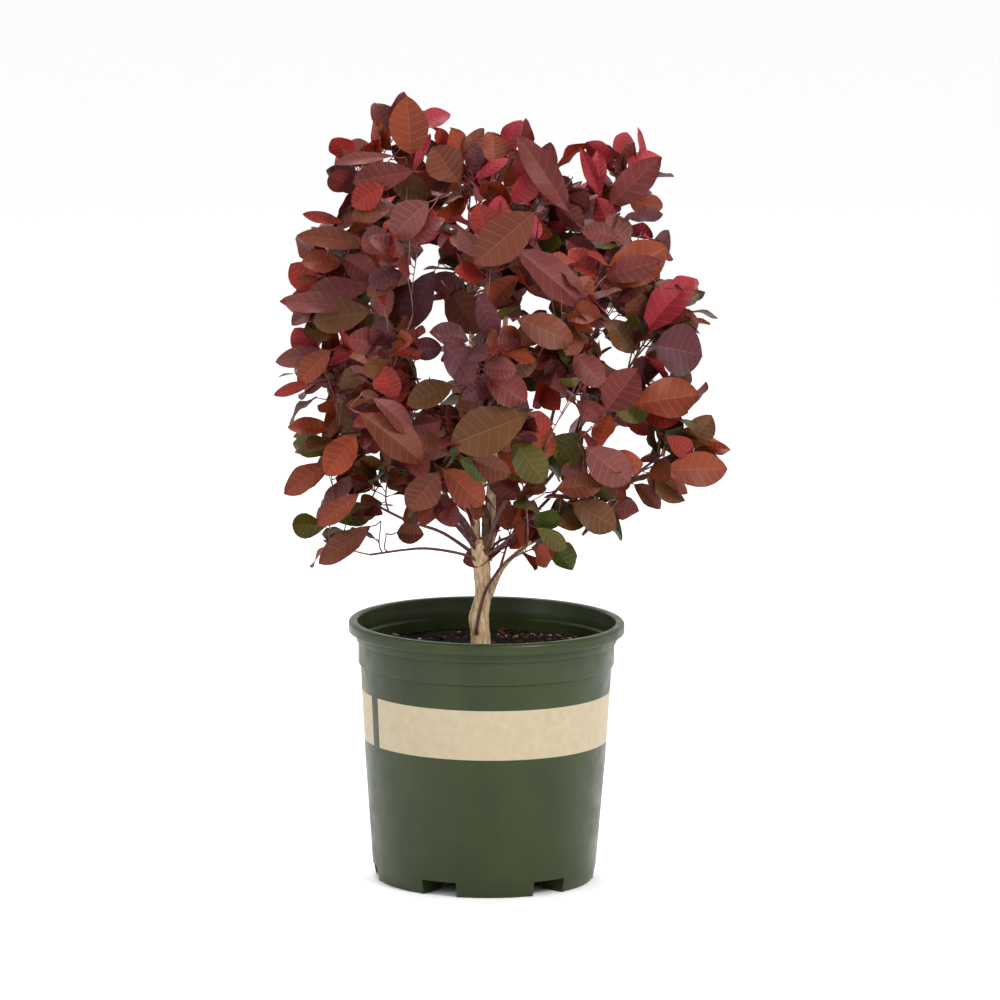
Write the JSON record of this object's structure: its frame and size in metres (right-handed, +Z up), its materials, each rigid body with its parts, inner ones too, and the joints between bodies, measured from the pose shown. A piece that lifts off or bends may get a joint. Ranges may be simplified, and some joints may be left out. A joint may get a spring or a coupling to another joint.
{
  "type": "potted smoke bush",
  "caption": "Young smoke bush with wine-red and bronze leaves on a short forked trunk, in a round green nursery pot with a pale blank band.",
  "frame": {"origin": "middle of the underside of the whole plant's box, on the ground plane that the pot's six foot pads stand on; the pot's own axis is 14 mm to the left of it and 0.8 mm in front", "axes": "+Z up along the pot's axis and the trunk, -Y towards the viewer of the picture, +X to the viewer's right"},
  "size_m": [0.466, 0.4172, 0.796],
  "materials": {
    "pot_green": "satin moulded polypropylene, dark green, with a pale blank band",
    "potting_mix": "rough damp bark and peat mix",
    "bark_pale": "smooth pale tan bark with small lenticels",
    "bark_brown": "smooth red-brown bark of young shoots",
    "bark_dark": "dry dark flaking bark",
    "leaf_wine": "wine-purple leaves with paler veins, faintly waxy",
    "leaf_bronze": "bronze to green leaves with paler veins",
    "leaf_rose": "young rose-red leaves with paler veins"
  },
  "bodies": {
    "root": {"bough_back_left": "bark_brown", "bough_back_middle": "bark_brown", "bough_back_right": "bark_brown", "bough_far_right": "bark_brown", "bough_front_left": "bark_brown", "bough_front_right": "bark_brown", "bough_inner": "bark_brown", "bough_left": "bark_brown", "bough_left_low": "bark_brown", "bough_low_middle": "bark_brown", "bough_right": "bark_brown", "bough_right_low": "bark_pale", "leader_left": "bark_pale", "leader_right": "bark_pale", "mass_back_left": "leaf_bronze", "mass_back_low_left": "leaf_bronze", "mass_back_low_middle": "leaf_wine", "mass_back_low_right": "leaf_bronze", "mass_back_middle": "leaf_wine", "mass_back_right": "leaf_wine", "mass_back_upper_left": "leaf_wine", "mass_back_upper_right": "leaf_bronze", "mass_core": "leaf_bronze", "mass_foot_inner": "leaf_bronze", "mass_foot_left": "leaf_bronze", "mass_foot_left_inner": "leaf_bronze", "mass_foot_left_tip": "leaf_bronze", "mass_foot_middle": "leaf_bronze", "mass_foot_right": "leaf_bronze", "mass_front_left": "leaf_wine", "mass_front_low_left": "leaf_bronze", "mass_front_low_middle": "leaf_bronze", "mass_front_low_right": "leaf_wine", "mass_front_middle": "leaf_wine", "mass_front_right": "leaf_wine", "mass_front_upper_left": "leaf_wine", "mass_front_upper_right": "leaf_wine", "mass_low_left": "leaf_wine", "mass_low_right": "leaf_wine", "mass_middle_left": "leaf_wine", "mass_middle_right": "leaf_rose", "mass_shoulder_left": "leaf_wine", "mass_shoulder_right": "leaf_wine", "mass_skirt_back": "leaf_wine", "mass_skirt_far_right": "leaf_bronze", "mass_skirt_front_right": "leaf_bronze", "mass_skirt_left": "leaf_bronze", "mass_skirt_middle": "leaf_bronze", "mass_skirt_right": "leaf_wine", "mass_top_back": "leaf_wine", "mass_top_left": "leaf_wine", "mass_top_left_wing": "leaf_wine", "mass_top_middle": "leaf_rose", "mass_top_right": "leaf_rose", "mass_top_right_wing": "leaf_wine", "pot": "pot_green", "pruned_stub": "bark_dark", "shoot_on_trunk": "bark_brown", "soil": "potting_mix", "trunk": "bark_pale"}
  },
  "joints": []
}
